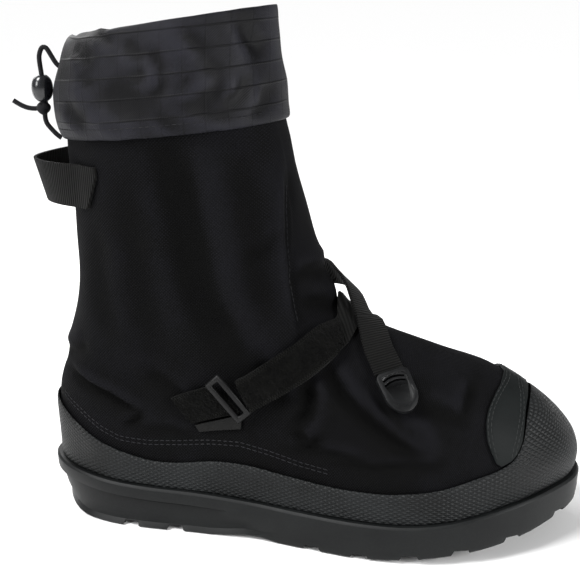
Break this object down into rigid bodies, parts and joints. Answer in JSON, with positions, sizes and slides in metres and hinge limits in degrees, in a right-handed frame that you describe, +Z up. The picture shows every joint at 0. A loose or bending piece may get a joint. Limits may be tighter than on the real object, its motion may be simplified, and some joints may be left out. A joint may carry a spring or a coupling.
{
  "type": "winter overshoe",
  "caption": "Tall winter overshoe: hollow fabric upper and shaft with a folded drawcord cuff, instep strap, pull tab, pull loop, toe patch and lugged rubber sole.",
  "frame": {"origin": "on the floor, in the middle of the heel's flat tread, 41.5 mm ahead of the back of the sole", "axes": "+X to the toe, +Z up, -Y to the outer side of the foot"},
  "size_m": [0.3238, 0.1211, 0.2966],
  "materials": {
    "rubber": "moulded rubber, satin",
    "foam": "closed-cell foam with a cloth face, matte",
    "fabric": "woven nylon, matte",
    "coated_fabric": "embossed coated cloth, satin",
    "patch": "smooth coated patch, matte",
    "ripstop": "light ripstop nylon, soft sheen",
    "webbing": "ribbed webbing, matte",
    "hook_pile": "hook and pile tape, matte",
    "plastic": "moulded plastic, satin",
    "gloss": "moulded plastic, glossy",
    "cord": "braided cord, matte"
  },
  "bodies": {
    "root": {"outsole": "rubber", "insole": "foam", "upper": "fabric", "rand": "coated_fabric", "toe_patch": "patch", "cuff": "ripstop", "pull_loop": "webbing", "strap_anchor": "hook_pile", "strap_ring": "plastic", "instep_webbing": "webbing", "instep_strap": "hook_pile", "side_tag": "webbing", "front_strap": "webbing", "pull_tab": "plastic", "cord_lock": "gloss", "cord_knot": "cord", "drawcord_upper": "cord", "drawcord_tail": "cord", "drawcord_lower": "cord"}
  },
  "joints": []
}
